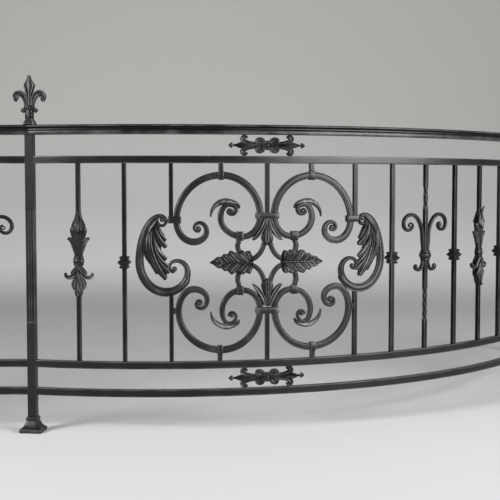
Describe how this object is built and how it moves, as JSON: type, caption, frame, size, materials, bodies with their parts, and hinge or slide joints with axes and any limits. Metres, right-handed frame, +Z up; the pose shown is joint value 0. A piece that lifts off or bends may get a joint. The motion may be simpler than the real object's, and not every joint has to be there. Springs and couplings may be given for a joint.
{
  "type": "wrought iron railing",
  "caption": "Wrought iron railing of a straight bay and a bowed bay between square posts, with scroll panels, cast leaves and lilies, a moulded handrail and fleur-de-lis finials",
  "frame": {"origin": "middle of the underside of the middle post's foot, on the floor", "axes": "+Z up, the straight bay runs along -X from the middle post, the bow swings out towards -Y and round to +X; the face seen in the picture is towards -Y"},
  "size_m": [3.6368, 1.8396, 1.158],
  "materials": {
    "bar": "satin graphite black",
    "casting": "satin graphite black"
  },
  "bodies": {
    "root": {"left_post": "bar", "middle_post": "bar", "right_post": "bar", "post_feet": "casting", "finials": "casting", "straight_handrail": "bar", "straight_sub_rail": "bar", "straight_upper_bottom_rail": "bar", "straight_lower_bottom_rail": "bar", "bow_handrail": "bar", "bow_sub_rail": "bar", "bow_upper_bottom_rail": "bar", "bow_lower_bottom_rail": "bar", "straight_bars": "bar", "bow_bars": "bar", "straight_knuckles": "casting", "bow_knuckles": "casting", "straight_leaf_casting": "casting", "bow_leaf_castings": "casting", "straight_lily_casting": "casting", "bow_lily_castings": "casting", "straight_straps": "bar", "bow_straps": "bar", "straight_c_scrolls": "bar", "bow_c_scrolls": "bar", "straight_scroll_tails": "casting", "bow_scroll_tails": "casting", "straight_links": "bar", "bow_links": "bar", "straight_collars": "bar", "bow_collars": "bar", "straight_side_scrolls": "bar", "bow_side_scrolls": "bar", "straight_acanthus_leaves": "casting", "bow_acanthus_leaves": "casting", "straight_palmettes": "casting", "bow_palmettes": "casting", "straight_flat_leaves": "casting", "bow_flat_leaves": "casting", "straight_ties": "casting", "bow_ties": "casting"}
  },
  "joints": []
}
